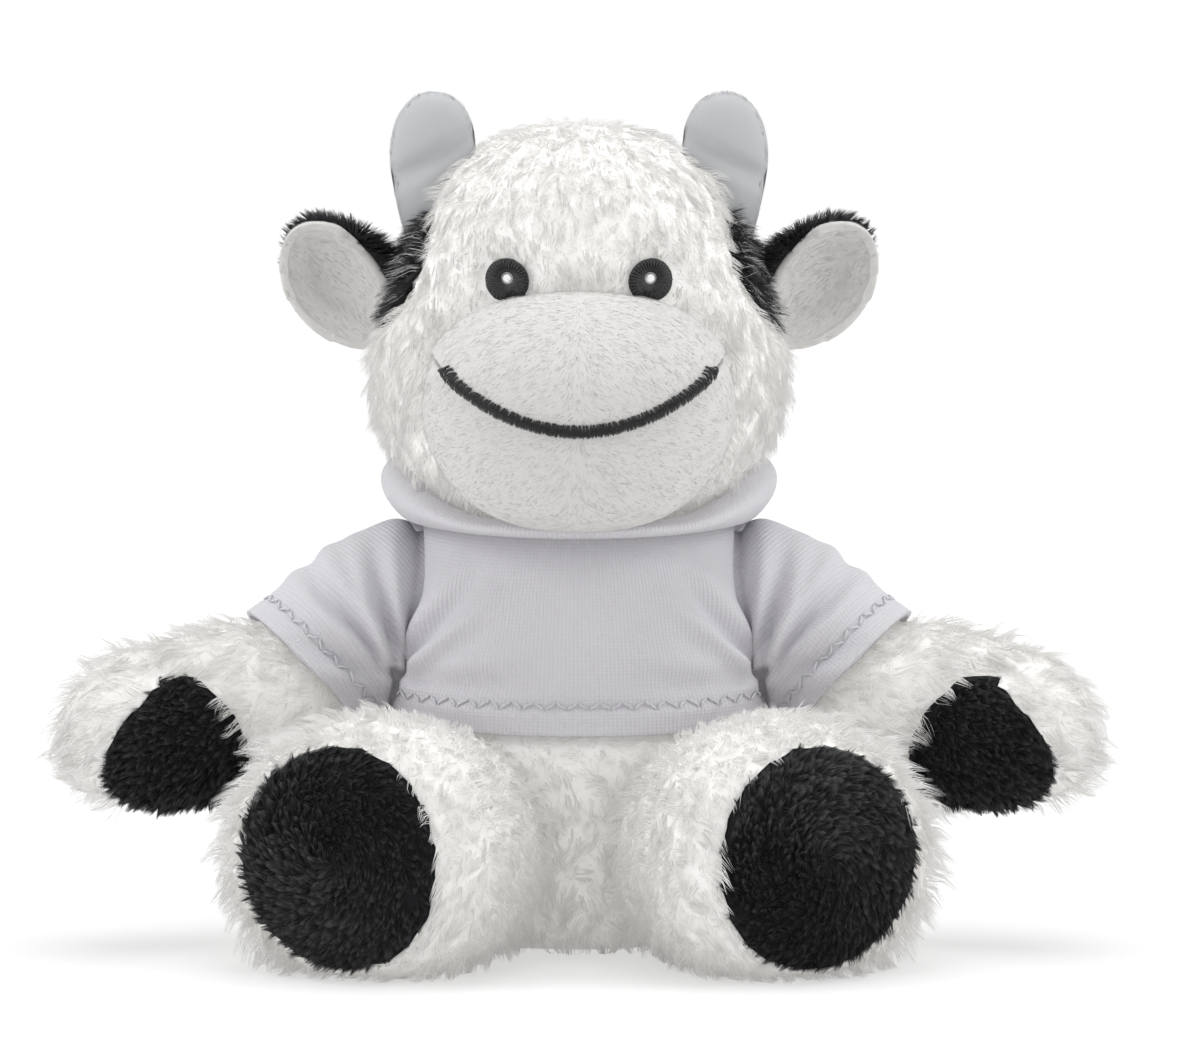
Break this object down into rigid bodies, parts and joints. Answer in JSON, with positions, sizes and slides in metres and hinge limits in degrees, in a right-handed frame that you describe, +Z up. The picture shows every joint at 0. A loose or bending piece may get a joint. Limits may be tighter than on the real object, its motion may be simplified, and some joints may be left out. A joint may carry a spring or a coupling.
{
  "type": "plush cow",
  "caption": "Sitting stuffed cow with long white pile, black soles and paw pads, embroidered smile, horns, drooping ears and a small hooded jersey top.",
  "frame": {"origin": "on the flat seat under the torso, below the middle of the neck", "axes": "+X towards the toy's own left, -Y the way it looks, +Z up"},
  "size_m": [0.1808, 0.1191, 0.1531],
  "materials": {
    "white_plush": "long curly pile, matt",
    "black_plush": "short dense pile, soft sheen",
    "white_velboa": "short smooth pile, matt",
    "grey_velboa": "very short pile, matt",
    "black_thread": "satin embroidery thread",
    "white_thread": "satin embroidery thread",
    "white_jersey": "fine knitted jersey, matt",
    "fibre_fill": "loose polyester fibre"
  },
  "bodies": {
    "root": {"torso_skin": "white_plush", "torso_stuffing": "fibre_fill", "top_front": "white_jersey", "top_back": "white_jersey", "hood": "white_jersey", "left_sleeve": "white_jersey", "right_sleeve": "white_jersey"},
    "head": {"head_skin": "white_plush", "head_stuffing": "fibre_fill", "nose_panel": "white_velboa", "chin_panel": "white_velboa", "smile": "black_thread", "left_head_patch": "black_plush", "left_eye": "black_thread", "left_eye_highlight": "white_thread", "left_horn_skin": "grey_velboa", "left_horn_stuffing": "fibre_fill", "right_head_patch": "black_plush", "right_eye": "black_thread", "right_eye_highlight": "white_thread", "right_horn_skin": "grey_velboa", "right_horn_stuffing": "fibre_fill"},
    "tail": {"tail": "white_plush", "tail_tuft": "black_plush"},
    "left_ear": {"left_ear_back": "black_plush", "left_ear_lining": "white_velboa"},
    "left_arm": {"left_arm_skin": "white_plush", "left_arm_stuffing": "fibre_fill", "left_paw_pad": "black_plush"},
    "left_leg": {"left_leg_skin": "white_plush", "left_leg_stuffing": "fibre_fill", "left_sole": "black_plush"},
    "right_ear": {"right_ear_back": "black_plush", "right_ear_lining": "white_velboa"},
    "right_arm": {"right_arm_skin": "white_plush", "right_arm_stuffing": "fibre_fill", "right_paw_pad": "black_plush"},
    "right_leg": {"right_leg_skin": "white_plush", "right_leg_stuffing": "fibre_fill", "right_sole": "black_plush"}
  },
  "joints": [
    {"name": "neck_turn", "type": "hinge", "parent": "root", "child": "head", "pos_m": [0, 0, 0.079], "axis": [0, 0, 1], "range_deg": [-15, 15], "stiffness_Nm_per_rad": 0.15},
    {"name": "left_arm_lift", "type": "hinge", "parent": "root", "child": "left_arm", "pos_m": [0.02997, 0, 0.07], "axis": [0, -1, 0], "range_deg": [-8, 45], "stiffness_Nm_per_rad": 0.05, "deforming": ["left_sleeve"]},
    {"name": "left_leg_lift", "type": "hinge", "parent": "root", "child": "left_leg", "pos_m": [0.02, -0.028, 0.027], "axis": [-1, 0, 0], "range_deg": [0, 30], "stiffness_Nm_per_rad": 0.08},
    {"name": "left_ear_fold", "type": "hinge", "parent": "head", "child": "left_ear", "pos_m": [0.03451, 0.001, 0.119], "axis": [0, 0, 1], "range_deg": [-20, 20], "stiffness_Nm_per_rad": 0.004},
    {"name": "right_arm_lift", "type": "hinge", "parent": "root", "child": "right_arm", "pos_m": [-0.02997, 0, 0.07], "axis": [0, 1, 0], "range_deg": [-8, 45], "stiffness_Nm_per_rad": 0.05, "deforming": ["right_sleeve"]},
    {"name": "right_leg_lift", "type": "hinge", "parent": "root", "child": "right_leg", "pos_m": [-0.02, -0.028, 0.027], "axis": [-1, 0, 0], "range_deg": [0, 30], "stiffness_Nm_per_rad": 0.08},
    {"name": "right_ear_fold", "type": "hinge", "parent": "head", "child": "right_ear", "pos_m": [-0.03451, 0.001, 0.119], "axis": [0, 0, -1], "range_deg": [-20, 20], "stiffness_Nm_per_rad": 0.004},
    {"name": "tail_wag", "type": "hinge", "parent": "root", "child": "tail", "pos_m": [0, 0.0345, 0.027], "axis": [0, 0, 1], "range_deg": [-24, 24], "stiffness_Nm_per_rad": 0.002}
  ]
}
